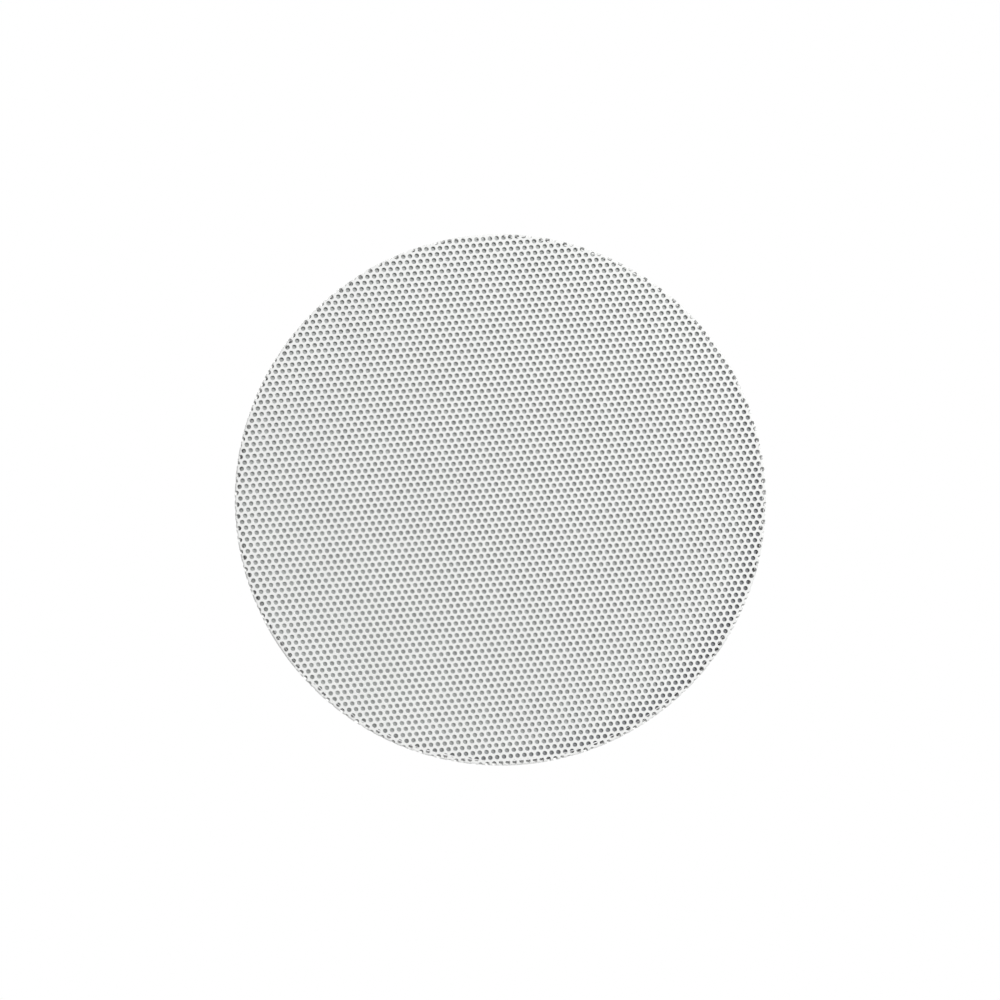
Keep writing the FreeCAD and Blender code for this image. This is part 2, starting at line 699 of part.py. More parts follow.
def make_bridge():
    bridge = ring("tweeter_bridge", "hub_inner", "hub_outer", "bridge_front", "hub_rear")
    inside = "hub_outer - 1"
    arm = pad(bridge, "bridge_front", "arm_rear", rectangle(inside, "foot_outer", "-arm_half", "arm_half"))
    around(bridge, arm, 2)
    foot = pad(bridge, "bridge_front", "basket_front",
               rectangle("foot_inner", "foot_outer", "-arm_half", "arm_half"))
    around(bridge, foot, 2)
    recess = pocket(bridge, "bridge_front", "basket_front - 4.6", circle("bridge_screw_x", "0", "3.1"))
    around(bridge, recess, 2)
    hole = pocket(bridge, "basket_front - 5", "basket_front",
                  circle("bridge_screw_x", "0", "clearance_hole"))
    around(bridge, hole, 2)
    pocket(bridge, "-hub_outer - 1", "hub_outer + 1", circle("0", "pivot_y", "pin_radius + running_gap"),
           role="XY_Plane")
    screw = pan_screw("screw", "basket_front - 6.8", "basket_front - 4.6", "baffle_rear", "2.9")
    x = value("bridge_screw_x")
    copies("bridge_screws", screw, [turned(x, 0, 0), turned(-x, 0, 0)])


def make_gimbal():
    """The ring pans about Z on the bridge's hub; the tweeter tilts about X in the ring."""
    low, high = "pivot_y - gimbal_half", "pivot_y + gimbal_half"
    gimbal = ring("gimbal_ring", "gimbal_inner", "gimbal_outer", low, high)
    low, high = "-gimbal_outer - 1", "gimbal_outer + 1"
    pocket(gimbal, low, high, circle("0", "pivot_y", "pin_radius"), role="XY_Plane")
    pocket(gimbal, low, high, circle("pivot_y", "0", "pin_radius + running_gap"), role="YZ_Plane")
    pin = new_body("pin")
    pad(pin, "gimbal_inner + 0.1", "hub_outer - 0.4", circle("0", "pivot_y", "pin_radius"), role="XY_Plane")
    copies("pan_pins", pin, [turned(0, 0, 0), turned(0, 0, 180)])
    pin = new_body("pin")
    pad(pin, "tweeter_radius - tweeter_wall", "gimbal_outer - 0.2", circle("pivot_y", "0", "pin_radius"),
        role="YZ_Plane")
    copies("tilt_pins", pin, [turned(0, 0, 0), turned(0, 0, 180)])


def make_tweeter():
    inner = "tweeter_radius - tweeter_wall"
    housing = lathe(
        "tweeter_housing",
        ("tweeter_radius", "plate_joint"),
        ("tweeter_radius", "pivot_y + 2"),
        ("tweeter_radius - 3.5", "tweeter_rear - 1.5"),
        ("tweeter_radius - 4.5", "tweeter_rear"),
        ("0", "tweeter_rear"),
        ("0", "tweeter_rear - tweeter_wall"),
        (f"{inner} - 3.8", "tweeter_rear - tweeter_wall"),
        (f"{inner} - 3.5", "tweeter_rear - 2"),
        (inner, "pivot_y + 1.6"),
        (inner, "plate_joint"),
    )
    pocket(housing, "-tweeter_radius - 1", "tweeter_radius + 1", circle("pivot_y", "0", "pin_radius"),
           role="YZ_Plane")
    lathe(
        "tweeter_faceplate",
        ("dome_radius + 0.7", "plate_joint"),
        ("dome_radius + 0.7", "plate_joint - 0.6"),
        ("dome_radius + 3.3", "tweeter_front"),
        ("tweeter_radius - 0.4", "tweeter_front"),
        ("tweeter_radius", "tweeter_front + 0.4"),
        ("tweeter_radius", "plate_joint"),
    )
    rise = "plate_joint + 0.1 - dome_apex"
    silk = "0.3"
    lathe(
        "tweeter_dome",
        ("0", "dome_apex", f"(dome_radius^2 + ({rise})^2) / (2 * ({rise}))", 1),
        ("dome_radius", "plate_joint + 0.1"),
        ("dome_radius + 3.4", "plate_joint + 0.1"),
        ("dome_radius + 3.4", f"plate_joint + 0.1 + {silk}"),
        ("dome_radius", f"plate_joint + 0.1 + {silk}"),
        ("dome_radius", "pivot_y - 0.6"),
        (f"dome_radius - {silk}", "pivot_y - 0.6"),
        (f"dome_radius - {silk}", f"plate_joint + 0.1 + {silk}",
         f"((dome_radius - {silk})^2 + ({rise})^2) / (2 * ({rise}))", -1),
        ("0", f"dome_apex + {silk}"),
    )
    lathe(
        "tweeter_cup",
        ("dome_radius + 0.3", "pivot_y - 3"),
        ("dome_radius + 1.5", "pivot_y - 3"),
        ("dome_radius + 1.5", "pivot_y + 5"),
        ("0", "pivot_y + 5"),
        ("0", "pivot_y + 3.5"),
        ("dome_radius + 0.3", "pivot_y + 3.5"),
    )
    ring("tweeter_pole", "2", "dome_radius - 0.7", "pivot_y - 2.5", "pivot_y - 0.5")
    ring("tweeter_magnet", "2", "dome_radius - 1.7", "pivot_y - 0.5", "pivot_y + 3.5")


# ---------------------------------------------------------------- crossover and switches

def around_bottom(degrees):
    """Where a board part stands: degrees to the right of straight down, as (x, z) numbers."""
    angle = math.radians(degrees)
    return value("part_circle") * math.sin(angle), -value("part_circle") * math.cos(angle)


def make_crossover():
    board = new_body("crossover_board")
    corner_out = ("board_outer * sin(board_half * 1 deg)", "-board_outer * cos(board_half * 1 deg)")
    corner_in = ("board_inner * sin(board_half * 1 deg)", "-board_inner * cos(board_half * 1 deg)")
    pad(board, "board_front", "board_front + board_sheet", outline(
        ("-" + corner_out[0], corner_out[1], "board_outer", 1),
        corner_out,
        (*corner_in, "board_inner", -1),
        ("-" + corner_in[0], corner_in[1]),
    ))
    pocket(board, "board_front", "board_front + board_sheet",
           *[circle(x, z, "clearance_hole") for x, z in post_places()])
    screw = pan_screw("screw", "-2", "0", "8", "2.8")
    flip = FreeCAD.Placement(V(0, value("board_front + board_sheet"), 0), FreeCAD.Rotation(V(1, 0, 0), 180))
    places = [FreeCAD.Placement(V(value(x), 0, value(z)), FreeCAD.Rotation()) * flip
              for x, z in post_places()]
    copies("board_screws", screw, places)
    make_board_parts()


def make_board_parts():
    face = "board_front + board_sheet"
    stands = (
        ("woofer_inductor_core", inductor_core, -26),
        ("woofer_inductor_winding", inductor_winding, -26),
        ("tweeter_inductor", air_coil, -11.5),
        ("film_capacitor", film_capacitor, 3.5),
        ("electrolytic_capacitor", electrolytic, 16.5),
        ("power_resistor", power_resistor, 27.5),
    )
    for label, make, degrees in stands:
        x, z = around_bottom(degrees)
        piece = make(label, face)
        piece.Placement = FreeCAD.Placement(V(x, 0, z), FreeCAD.Rotation(V(0, 1, 0), -degrees))


def inductor_core(label, face):
    """A ferrite bobbin: two flanges on a rod."""
    return lathe(
        label,
        ("0", face),
        ("9.6", face),
        ("9.6", f"{face} + 1.6"),
        ("4", f"{face} + 1.6"),
        ("4", f"{face} + 13.4"),
        ("9.6", f"{face} + 13.4"),
        ("9.6", f"{face} + 15"),
        ("0", f"{face} + 15"),
    )


def inductor_winding(label, face):
    return ring(label, "4", "8.8", f"{face} + 1.6", f"{face} + 13.4")


def air_coil(label, face):
    return ring(label, "3.5", "7.8", f"{face} + 0.2", f"{face} + 9")


def film_capacitor(label, face):
    piece = new_body(label)
    pad(piece, f"{face} + 0.2", f"{face} + 15", rectangle("-11.5", "11.5", "-3.9", "3.9"))
    return piece


def electrolytic(label, face):
    return lathe(
        label,
        ("0", f"{face} + 0.2"),
        ("6", f"{face} + 0.2"),
        ("6.3", f"{face} + 0.5"),
        ("6.3", f"{face} + 1.6"),
        ("5.9", f"{face} + 2.1"),
        ("6.3", f"{face} + 2.6"),
        ("6.3", f"{face} + 17.6"),
        ("6", f"{face} + 18"),
        ("0", f"{face} + 18"),
    )


def power_resistor(label, face):
    piece = new_body(label)
    pad(piece, f"{face} + 1", f"{face} + 10", rectangle("-4.5", "4.5", "-9", "9"))
    return piece


def make_switches():
    """Two slide switches behind the baffle, whose sliders stand through slots."""
    for side, label in ((1, "treble"), (-1, "bass")):
        x = f"switch_x * {side}"
        body = new_body(label + "_switch")
        pad(body, "baffle_rear", "switch_rear",
            rectangle(f"{x} - 9", f"{x} + 9", "switch_z - 4.5", "switch_z + 4.5"))
        slot = "slider_travel / 2 + 2.4"
        pocket(body, "baffle_rear", "switch_rear - 2",
               rectangle(f"{x} - ({slot})", f"{x} + {slot}", "switch_z - 1.8", "switch_z + 1.8"))
        slider = new_body(label + "_slider")
        rest = f"{x} - slider_travel / 2"
        pad(slider, "baffle_rear - 4.5", "switch_rear - 2.2",
            rectangle(f"{rest} - 2", f"{rest} + 2", "switch_z - 1.6", "switch_z + 1.6"))


# ---------------------------------------------------------------- terminals

def make_terminals():
    """A block with two sprung push levers on one axle, and a wire entry under each lever."""
    terminal = new_body("terminal_block")
    pad(terminal, "baffle_rear", "block_rear",
        rectangle("-block_half", "block_half", "block_inner", "block_outer"))
    lever_xs = ("-lever_x", "lever_x")
    wells = [rectangle(f"{x} - lever_half - lever_gap", f"{x} + lever_half + lever_gap",
                       "block_outer - lever_well", "block_outer + 1") for x in lever_xs]
    pocket(terminal, "axle_y - 3", "block_rear + 1", *wells)
    entries = [circle(x, "entry_z", "entry_radius") for x in lever_xs]
    pocket(terminal, "block_rear - entry_depth", "block_rear", *entries)
    pocket(terminal, "-block_half + 1", "block_half - 1", circle("axle_y", "axle_z", "axle_radius"),
           role="YZ_Plane")
    axle = new_body("lever_axle")
    pad(axle, "-block_half + 1", "block_half - 1", circle("axle_y", "axle_z", "axle_radius"),
        role="YZ_Plane")
    pieces = [terminal, axle]
    for label, x in zip(("red_lever", "black_lever"), lever_xs):
        lever = new_body(label)
        start, end = f"{x} - lever_half", f"{x} + lever_half"
        pad(lever, start, end, role="YZ_Plane", *[outline(
            ("axle_y - lever_inset", "axle_z - lever_inset"),
            ("block_rear - 1", "axle_z - lever_inset"),
            ("block_rear - 0.4", "axle_z - 1.1"),
            ("block_rear - 0.4", "axle_z + 2.6"),
            ("block_rear - 4", "axle_z + 2.2"),
            ("axle_y + 3", "axle_z + 1.3"),
            ("axle_y - lever_inset", "axle_z + 1.3"),
        )])
        pocket(lever, start, end, circle("axle_y", "axle_z", "axle_radius + running_gap"), role="YZ_Plane")
        pieces.append(lever)
    for piece in pieces:
        piece.Placement = turned(0, 0, TERMINAL_TURN)
    spring = doc.addObject("Part::Cylinder", "spring")
    spring.setExpression("Radius", bound("spring_radius"))
    spring.setExpression("Height", bound("axle_z - lever_inset - (block_outer - lever_well)"))
    place = V(value("lever_x"), value("block_rear - 7"), value("block_outer - lever_well"))
    left = V(-place.x, place.y, place.z)
    turn = turned(0, 0, TERMINAL_TURN)
    places = [turn * FreeCAD.Placement(spot, FreeCAD.Rotation()) for spot in (place, left)]
    copies("lever_springs", spring, places)


def make_tether_eye():
    """The lug that a safety tether hooks into, riveted inside the collar."""
    eye = new_body("tether_eye")
    outside = "collar_inner - eye_gap"
    pad(eye, "baffle_rear", "eye_end", rectangle("-eye_half", "eye_half", outside + " - eye_sheet", outside))
    pocket(eye, outside + " - eye_sheet - 1", "collar_inner", circle("0", "eye_hole_y", "eye_hole"),
           role="XY_Plane")
    eye.Placement = turned(0, 0, TETHER_TURN)


# ---------------------------------------------------------------- leads

def rounded_path(points):
    """Straight runs joined by tangent arcs, each as large as its two runs allow."""
    edges = []
    here = points[0]
    for before, corner, after in zip(points, points[1:], points[2:]):
        inward = (corner - before).normalize()
        outward = (after - corner).normalize()
        half_turn = inward.getAngle(outward) / 2
        reach = 0.45 * min(before.distanceToPoint(corner), corner.distanceToPoint(after))
        radius = reach / math.tan(half_turn)
        start = corner - inward * reach
        end = corner + outward * reach
        bisector = (outward - inward).normalize()
        middle = corner + bisector * (radius / math.cos(half_turn) - radius)
        edges.append(Part.makeLine(here, start))
        edges.append(Part.Arc(start, middle, end).toShape())
        here = end
    edges.append(Part.makeLine(here, points[-1]))
    return Part.Wire(edges)


def lead(label, points, radius):
    """A wire that the loudspeaker holds from end to end."""
    path = rounded_path(points)
    section = Part.Wire(Part.makeCircle(radius, points[0], points[1] - points[0]))
    solid = path.makePipeShell([section], True, False)
    expected = math.pi * radius ** 2 * path.Length
    if abs(solid.Volume - expected) > 0.02 * expected:
        raise RuntimeError(f"{label}: volume {solid.Volume:.1f}, expected {expected:.1f}")
    piece = doc.addObject("Part::Feature", label)
    piece.Label = label
    piece.Shape = solid
    nodes.append(piece)


def clock(radius, degrees, y):
    """A point at a clock position, in degrees anticlockwise from the right, seen from the front."""
    angle = math.radians(degrees)
    return V(radius * math.cos(angle), y, radius * math.sin(angle))


def make_leads():
    face = value("board_front + board_sheet")
    block = turned(0, 0, TERMINAL_TURN)
    inside = value("block_inner")
    bundle = 78.5
    lead("input_lead", [
        block.multVec(V(6, 31, inside)),
        block.multVec(V(6, 31, inside - 5)),
        clock(bundle, 15, 32),
        clock(bundle, 1, 31.5),
        clock(bundle, -13, 32),
        clock(bundle, -27, 33),
        clock(bundle, -40, 34),
        clock(83, -48, 34),
        clock(86, -53, 32),
        clock(86, -53, face),
    ], 1.7)
    lead("woofer_lead", [
        clock(80.5, -57.2, face),
        clock(80.5, -57.2, 31),
        clock(76, -58.5, 36.5),
        clock(69.5, -60, 39.5),
        clock(65, -60, 37.3),
        clock(61.7, -60, 34),
    ], 1.2)
    side = value("arm_half + 1")
    front = value("bridge_front + 1.4")
    hole = value("lead_hole_x")
    lead("tweeter_lead", [
        V(value("hub_outer") + 0.5, front, side),
        V(45, front, side),
        V(63, front + 0.1, side + 0.1),
        V(hole - 5, front, side),
        V(hole, front + 6, side),
        V(hole, 14, side),
        V(hole, 20, side - 1),
        clock(84, -2, 22),
        clock(80.5, -11, 20.5),
        clock(80.5, -22, 20),
        clock(80.5, -33, 20.5),
        clock(79.5, -41, 24),
        clock(78.8, -46, 30),
        clock(79.5, -51, 31),
        clock(79.5, -51, face),
    ], 0.8)


# ---------------------------------------------------------------- build and write

def check_document():
    doc.recompute()
    for item in doc.Objects:
        if "Invalid" in item.State or "Error" in item.State:
            raise RuntimeError(f"{item.Label} ({item.Name}) failed: {item.State}")
    for node in nodes:
        if node.Shape.isNull() or not node.Shape.isValid() or node.Shape.Volume <= 0:
            raise RuntimeError(f"{node.Label} has no valid shape")


def write_parts():
    os.makedirs("parts", exist_ok=True)
    for node in nodes:
        node.Shape.exportStep(f"parts/{node.Label}.step")
        print(f"{node.Label}: {len(node.Shape.Solids)} solid(s), {node.Shape.Volume:.0f} mm3")
    print(len(nodes), "nodes")


fill_sheet()
make_grille()
make_frame()
make_clamps()
make_basket()
make_moving_parts()
make_motor()
make_woofer_screws()
make_terminal_tab()
make_bridge()
make_gimbal()
make_tweeter()
make_crossover()
make_switches()
make_terminals()
make_tether_eye()
make_leads()
check_document()
write_parts()
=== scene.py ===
"""The looks of a round flush-mount loudspeaker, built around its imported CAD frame."""

import json
import math
import random

import bmesh
import bpy
import numpy as np
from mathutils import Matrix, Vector
from mathutils.geometry import delaunay_2d_cdt


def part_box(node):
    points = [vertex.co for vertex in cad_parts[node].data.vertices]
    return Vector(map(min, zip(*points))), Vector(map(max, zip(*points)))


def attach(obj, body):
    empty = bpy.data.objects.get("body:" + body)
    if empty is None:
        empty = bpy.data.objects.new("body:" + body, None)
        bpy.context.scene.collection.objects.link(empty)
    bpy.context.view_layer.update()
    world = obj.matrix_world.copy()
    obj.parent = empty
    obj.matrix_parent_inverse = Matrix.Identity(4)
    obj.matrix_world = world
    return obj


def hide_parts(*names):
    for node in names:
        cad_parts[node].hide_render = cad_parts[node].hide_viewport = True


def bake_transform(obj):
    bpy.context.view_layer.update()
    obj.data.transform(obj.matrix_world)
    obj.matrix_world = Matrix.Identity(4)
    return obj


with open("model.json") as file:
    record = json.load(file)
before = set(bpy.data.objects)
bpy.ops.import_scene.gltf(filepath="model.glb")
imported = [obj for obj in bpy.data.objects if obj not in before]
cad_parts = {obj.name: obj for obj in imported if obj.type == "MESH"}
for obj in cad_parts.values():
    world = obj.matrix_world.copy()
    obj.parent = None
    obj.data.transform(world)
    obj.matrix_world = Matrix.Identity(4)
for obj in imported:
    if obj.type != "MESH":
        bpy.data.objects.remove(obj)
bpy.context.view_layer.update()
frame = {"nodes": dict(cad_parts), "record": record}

MM = 0.001

# the grille, in millimetres
RIM_RADIUS = 117.0              # outside of the turned-down rim
BEND = 1.0                      # outside radius of the rim's bend
SHEET = 0.8                     # sheet with its paint
GRILLE_FRONT = -7.2             # front face
GRILLE_EDGE = -0.7              # rear edge of the rim
PITCH = 2.9855                  # from one hole to the next in a row
ROW_TILT = math.radians(4.56)   # turn of the rows, anticlockwise from the front
ROW_OFFSET = (-0.504, -1.587)   # centre of one hole
HOLE = 1.01                     # radius of a hole
PAINT_ROUND = 0.07              # radius of the paint's edge round a hole
HOLE_SIDES = 12

# the fleece behind it: in metres, the centre that its painted shade darkens away from, and the plane it lies
# behind
FLEECE_SHADE_CENTRE = (-8 * MM, 0, 6 * MM)
FLEECE_FRONT = (GRILLE_FRONT + SHEET) * MM
# its loose fibres: x and z of the hole, first turn and sweep in radians, reach in millimetres
LOOSE_FIBRES = ((25.3, 63.0, -3.3, 3.2, 0.32), (-18.3, 8.4, 1.2, 4.6, 0.16))

# the top clamp's screw and the thread of all three, in millimetres
SCREW_X, SCREW_Z = -9.0, 93.0
THREAD_PITCH, THREAD_MAJOR, THREAD_ROOT = 2.0, 2.0, 1.55

# clock positions, in degrees anticlockwise from the top, seen from the front
CLAMPS = (("top", 0), ("left", 120), ("right", 240))
TERMINAL_TURN = -60

# stripes of the wave texture are this far apart at a scale of 1
WAVE_SPACING = 0.314159

# CAD nodes whose edges get a small radius
MOULDED = (
    "terminal_block", "film_capacitor", "power_resistor", "red_lever", "black_lever",
    "treble_switch", "bass_switch", "treble_slider", "bass_slider",
    "clamp_dog_top", "clamp_dog_left", "clamp_dog_right", "tether_eye", "tweeter_bridge",
)

# the disc's radius as a share of the picture's width
DISC_SHARE = 0.2659


# ---------------------------------------------------------------- pieces

def mesh_object(name, points, faces, material):
    """A smooth mesh with its points given in millimetres in the row frame."""
    mesh = bpy.data.meshes.new(name)
    mesh.from_pydata((np.asarray(points, float) * MM).tolist(), [], faces)
    mesh.polygons.foreach_set("use_smooth", [True] * len(mesh.polygons))
    mesh.materials.append(material)
    made = bpy.data.objects.new(name, mesh)
    bpy.context.scene.collection.objects.link(made)
    return made


def add_piece(name, points, faces, slot, sharp=40):
    """A closed piece with the look of a material slot; edges steeper than sharp degrees stay crisp."""
    made = mesh_object(name, points, faces, LOOKS[slot])
    work = bmesh.new()
    work.from_mesh(made.data)
    bmesh.ops.recalc_face_normals(work, faces=work.faces)
    for edge in work.edges:
        edge.smooth = edge.is_manifold and edge.calc_face_angle(0) < math.radians(sharp)
    work.to_mesh(made.data)
    work.free()
    return made


def joined(parts):
    """One list of points and one of faces from several (points, faces) shapes."""
    points, faces = [], []
    for more_points, more_faces in parts:
        faces += [tuple(v + len(points) for v in face) for face in more_faces]
        points += [tuple(p) for p in more_points]
    return points, faces


def tube(path, radius, sides):
    """Points and faces of a round wire along a path of points, with closed ends."""
    path = np.asarray(path, float)
    along = np.gradient(path, axis=0)
    along /= np.linalg.norm(along, axis=1)[:, None]
    slanting = (0.31, 0.87, 0.38)
    side = np.cross(along[0], slanting)
    points = []
    for spot, way in zip(path, along):
        side = side - way * np.dot(side, way)
        side /= np.linalg.norm(side)
        other = np.cross(way, side)
        for k in range(sides):
            angle = math.tau * k / sides
            points.append(spot + radius * (math.cos(angle) * side + math.sin(angle) * other))
    faces = [tuple(range(sides)), tuple(range(len(points) - sides, len(points)))]
    for i in range(len(path) - 1):
        for k in range(sides):
            a, b = i * sides + k, i * sides + (k + 1) % sides
            faces.append((a, b, b + sides, a + sides))
    return points, faces


def turned(points, degrees):
    """Points turned about the Y axis, anticlockwise as seen from the front."""
    angle = math.radians(degrees)
    p = np.asarray(points, float)
    x = p[:, 0] * math.cos(angle) - p[:, 2] * math.sin(angle)
    z = p[:, 0] * math.sin(angle) + p[:, 2] * math.cos(angle)
    return np.column_stack((x, p[:, 1], z))


def lathed(profile, steps, start=0.0, sweep=360.0):
    """Points and faces of a closed (radius, y) outline turned about the Y axis."""
    whole = sweep >= 360.0
    columns = steps if whole else steps + 1
    rows = len(profile)
    points, faces = [], []
    for i in range(columns):
        angle = math.radians(start + sweep * i / steps)
        points += [(r * math.cos(angle), y, r * math.sin(angle)) for r, y in profile]
    for i in range(steps):
        here, there = i * rows, (i + 1) % columns * rows
        for j in range(rows):
            k = (j + 1) % rows
            faces.append((here + j, here + k, there + k, there + j))
    if not whole:
        faces.append(tuple(reversed(range(rows))))
        faces.append(tuple(range((columns - 1) * rows, columns * rows)))
    return points, faces


def disc_faces(rings, steps):
    """Faces of a disc whose points are its middle and then its rings, from the inside out."""
    faces = [(0, 1 + step, 1 + (step + 1) % steps) for step in range(steps)]
    for ring in range(1, rings):
        outer = 1 + ring * steps
        inner = outer - steps
        for step in range(steps):
            following = (step + 1) % steps
            faces.append((inner + step, outer + step, outer + following, inner + following))
    return faces


# ---------------------------------------------------------------- materials

class Look:
    """One procedural material. Each method adds nodes and returns the output to go on with."""

    def __init__(self, name, **settings):
        self.material = bpy.data.materials.new(name)
        self.material.use_nodes = True
        self.tree = self.material.node_tree
        self.shader = self.tree.nodes["Principled BSDF"]
        for socket, number in settings.items():
            self.shader.inputs[socket.replace("_", " ")].default_value = number
        self.place = self.node("ShaderNodeTexCoord").outputs["Object"]

    def node(self, kind, inputs=(), **settings):
        made = self.tree.nodes.new(kind)
        for name, setting in settings.items():
            setattr(made, name, setting)
        for name, source in dict(inputs).items():
            if isinstance(source, bpy.types.NodeSocket):
                self.tree.links.new(source, made.inputs[name])
            else:
                made.inputs[name].default_value = source
        return made

    def stretched(self, x, y, z):
        return self.node("ShaderNodeMapping", {"Vector": self.place, "Scale": (x, y, z)}).outputs[0]

    def noise(self, size, detail, place=None, distortion=0.0):
        inputs = {
            "Vector": place or self.place,
            "Scale": 1 / size,
            "Detail": detail,
            "Distortion": distortion,
        }
        return self.node("ShaderNodeTexNoise", inputs).outputs["Fac"]

    def cells(self, size, feature="F1", output="Distance"):
        inputs = {"Vector": self.place, "Scale": 1 / size}
        return self.node("ShaderNodeTexVoronoi", inputs, feature=feature).outputs[output]

    def bands(self, size, direction, distortion):
        inputs = {
            "Vector": self.place,
            "Scale": WAVE_SPACING / size,
            "Distortion": distortion,
            "Detail": 2.0,
            "Detail Scale": 3.0,
        }
        made = self.node("ShaderNodeTexWave", inputs, wave_type="BANDS", bands_direction=direction)
        return made.outputs["Fac"]

    def between(self, value, low, high, start=0.0, end=1.0):
        inputs = {"Value": value, "From Min": start, "From Max": end, "To Min": low, "To Max": high}
        return self.node("ShaderNodeMapRange", inputs).outputs["Result"]

    def maths(self, operation, a, b):
        return self.node("ShaderNodeMath", {0: a, 1: b}, operation=operation).outputs[0]

    def mix(self, factor, a, b):
        made = self.node("ShaderNodeMix", {"Factor": factor}, data_type="RGBA")
        for socket, colour in ((made.inputs[6], a), (made.inputs[7], b)):
            if isinstance(colour, bpy.types.NodeSocket):
                self.tree.links.new(colour, socket)
            else:
                socket.default_value = (*colour, 1.0)
        return made.outputs[2]

    def finish(self, colour, roughness, relief, depth):
        """Links the shader. depth is the relief's height in millimetres."""
        self.tree.links.new(colour, self.shader.inputs["Base Color"])
        self.tree.links.new(roughness, self.shader.inputs["Roughness"])
        bump = self.node("ShaderNodeBump", {"Height": relief, "Distance": depth * MM, "Strength": 1.0})
        self.tree.links.new(bump.outputs[0], self.shader.inputs["Normal"])
        return self.material


def shade(colour, factor):
    """A lighter or darker tone of a colour."""
    return tuple(min(1.0, c * factor) for c in colour)


def moulded(name, colour, roughness, grain, depth, spread=0.15, **settings):
    """Moulded plastic or rubber: an even grain, faint flow marks and a roughness that wanders."""
    look = Look(name, **settings)
    flow = look.noise(18 * MM, 4.0, look.stretched(1, 0.4, 1), 0.6)
    fine = look.noise(grain * MM, 2.0)
    tone = look.mix(look.between(flow, 0, 1, 0.3, 0.7), shade(colour, 1 - spread), shade(colour, 1 + spread))
    rough = look.between(look.maths("ADD", fine, flow), roughness - 0.08, roughness + 0.08, 0.6, 1.4)
    return look.finish(tone, rough, fine, depth)


def plated(name, colour, roughness, along=(1, 1, 1)):
    """Plated or machined metal: fine tool marks along one direction, faint stains and bright wear."""
    look = Look(name, Metallic=1.0)
    marks = look.noise(0.25 * MM, 3.0, look.stretched(*along))
    stains = look.noise(7 * MM, 5.0, distortion=0.8)
    tone = look.mix(look.between(stains, 0, 1, 0.35, 0.65), shade(colour, 0.82), shade(colour, 1.08))
    rough = look.between(look.maths("ADD", marks, stains), roughness - 0.09, roughness + 0.12, 0.6, 1.4)
    return look.finish(tone, rough, marks, 0.004)


def powder_coat(name, colour, roughness=0.5, depth=0.006):
    """Baked powder coat: orange peel, with a slight mottle."""
    look = Look(name, Specular_IOR_Level=0.35)
    peel = look.noise(0.55 * MM, 2.0)
    mottle = look.noise(25 * MM, 3.0)
    tone = look.mix(look.between(mottle, 0, 1, 0.3, 0.7), shade(colour, 0.985), shade(colour, 1.01))
    rough = look.between(peel, roughness - 0.06, roughness + 0.06, 0.3, 0.7)
    return look.finish(tone, rough, peel, depth)


def fleece(name, dark, light):
    """Non-woven fleece: crossed fibres, with painted shade darkening it towards one side of its edge, pale
    where a fibre stands out of it.
    """
    look = Look(name, Sheen_Weight=0.25, Sheen_Roughness=0.6, Specular_IOR_Level=0.1)
    fibres = []
    for turn in (0.35, 1.3, 2.3):
        spun = look.node("ShaderNodeMapping", {"Vector": look.place, "Rotation": (0, turn, 0),
                                               "Scale": (1.0, 1.0, 7.0)}).outputs[0]
        fibres.append(look.noise(0.9 * MM, 3.0, spun, 0.4))
    web = look.maths("ADD", look.maths("ADD", fibres[0], fibres[1]), fibres[2])
    clouds = look.noise(6 * MM, 3.0)
    tone = look.mix(look.between(look.maths("ADD", web, clouds), 0, 1, 1.55, 2.45), dark, light)
    # painted shade: the fleece turns a bluish near-black 114 to 127 mm from the centre above, which is at
    # its lower right edge
    offset = look.node("ShaderNodeVectorMath", {0: look.place, 1: FLEECE_SHADE_CENTRE}, operation="SUBTRACT")
    away = look.node("ShaderNodeVectorMath", {0: offset.outputs[0]}, operation="LENGTH").outputs["Value"]
    ragged = look.maths("ADD", away, look.between(clouds, -1.5 * MM, 1.5 * MM, 0.3, 0.7))
    painted_shade = look.between(ragged, 0, 1, 114 * MM, 127 * MM)
    tone = look.mix(painted_shade, tone, (0.135, 0.139, 0.16))
    depth = look.node("ShaderNodeSeparateXYZ", {0: look.place}).outputs["Y"]
    loose = look.between(depth, 1, 0, FLEECE_FRONT - 0.3 * MM, FLEECE_FRONT)
    tone = look.mix(loose, tone, (0.93, 0.94, 0.93))
    rough = look.between(web, 0.85, 1.0, 1.2, 1.8)
    return look.finish(tone, rough, web, 0.05)


def woven(name, dark, light, pitch=0.55, roughness=0.8, depth=0.08, **settings):
    """Plain weave: two crossed sets of yarns."""
    look = Look(name, **settings)
    warp = look.bands(pitch * MM, "X", 0.5)
    weft = look.bands(pitch * MM, "Z", 0.5)
    cloth = look.maths("MAXIMUM", warp, weft)
    worn = look.noise(9 * MM, 4.0)
    tone = look.mix(look.maths("MULTIPLY", cloth, look.between(worn, 0.6, 1.1, 0.3, 0.7)), dark, light)
    rough = look.between(worn, roughness - 0.08, roughness + 0.08, 0.3, 0.7)
    return look.finish(tone, rough, cloth, depth)


def wound(name, colour):
    """Enamelled wire laid side by side, its colour darkened towards the gaps between turns as painted shade.
    """
    look = Look(name, Metallic=0.85, Coat_Weight=0.5, Coat_Roughness=0.15)
    turns = look.bands(0.5 * MM, "Y", 0.15)
    age = look.noise(5 * MM, 4.0)
    # painted shade: each turn's colour falls to 0.45 of the copper towards its neighbours, varied at random
    # by a slow noise
    painted_turn_shade = look.maths("MULTIPLY", turns, look.between(age, 0.75, 1.15, 0.3, 0.7))
    tone = look.mix(painted_turn_shade, shade(colour, 0.45), colour)
    rough = look.between(age, 0.22, 0.38, 0.3, 0.7)
    return look.finish(tone, rough, turns, 0.06)


